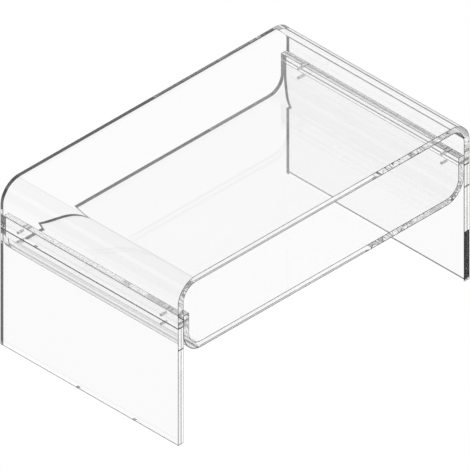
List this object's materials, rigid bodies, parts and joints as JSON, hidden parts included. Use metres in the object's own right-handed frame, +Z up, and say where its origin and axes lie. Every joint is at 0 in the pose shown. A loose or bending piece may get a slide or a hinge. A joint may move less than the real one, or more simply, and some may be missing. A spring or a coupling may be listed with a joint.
{
  "type": "monitor riser stand",
  "caption": "Clear acrylic desk riser for a monitor: a bent top shelf over a bent tray, on two flat side panels, lapped and pinned together.",
  "frame": {"origin": "on the desk plane, in the middle of the footprint", "axes": "+X along the width, to the right seen from the front; +Y towards the rear; +Z up"},
  "size_m": [0.4364, 0.2662, 0.207],
  "materials": {
    "clear_acrylic": "clear cast acrylic, polished faces and flame-polished edges",
    "pin_acrylic": "clear acrylic rod, polished"
  },
  "bodies": {
    "root": {"top_shelf": "clear_acrylic", "tray": "clear_acrylic", "left_leg": "clear_acrylic", "right_leg": "clear_acrylic", "pin_left_front_upper": "pin_acrylic", "pin_left_front_lower": "pin_acrylic", "pin_left_rear_upper": "pin_acrylic", "pin_left_rear_lower": "pin_acrylic", "pin_right_front_upper": "pin_acrylic", "pin_right_front_lower": "pin_acrylic", "pin_right_rear_upper": "pin_acrylic", "pin_right_rear_lower": "pin_acrylic"}
  },
  "joints": []
}
